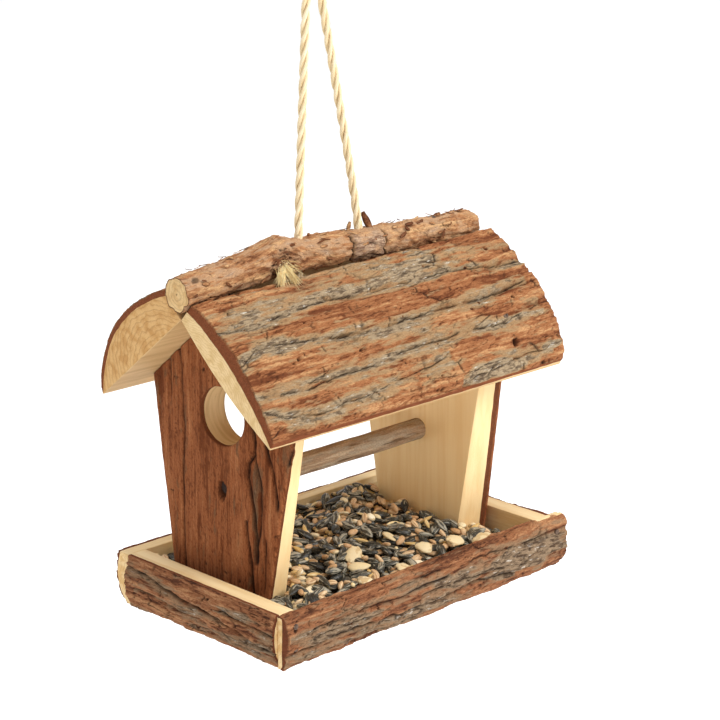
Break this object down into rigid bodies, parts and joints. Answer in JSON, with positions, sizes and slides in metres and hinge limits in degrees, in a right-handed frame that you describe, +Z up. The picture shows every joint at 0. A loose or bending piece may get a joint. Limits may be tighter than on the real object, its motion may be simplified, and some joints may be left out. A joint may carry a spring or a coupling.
{
  "type": "hanging bird feeder",
  "caption": "Hanging bird feeder like a small house: barked timber roof slabs and gables on a shallow seed tray, under a ridge branch that hangs from a rope loop.",
  "frame": {"origin": "the point on the inside of the rope loop's top where it hangs on a hook", "axes": "+X along the ridge, towards the right gable; +Y from the front long side to the back; +Z up"},
  "size_m": [0.2195, 0.1432, 0.3355],
  "materials": {
    "bark": "matte",
    "sawn_wood": "matte",
    "stick_bark": "matte",
    "rope": "matte",
    "seed": "satin",
    "steel": "satin"
  },
  "bodies": {
    "rope": {"rope_loop": "rope"},
    "house": {"tray_floor": "sawn_wood", "tray_front_board": "bark", "tray_back_board": "bark", "tray_left_board": "bark", "tray_right_board": "bark", "left_gable_panel": "bark", "right_gable_panel": "bark", "crossbar": "stick_bark", "crossbar_screws": "steel", "front_roof_slab": "bark", "back_roof_slab": "bark", "ridge_branch": "stick_bark", "rope_end_left": "rope", "rope_end_right": "rope", "seed_fill": "seed", "tray_corner_nails": "steel", "floor_nails": "steel", "gable_screws": "steel", "roof_nails": "steel", "ridge_nails": "steel"}
  },
  "joints": [
    {"name": "house_swing", "type": "hinge", "parent": "rope", "child": "house", "pos_m": [0, 0, -0.1253], "axis": [1, 0, 0], "range_deg": [-45, 45]}
  ]
}
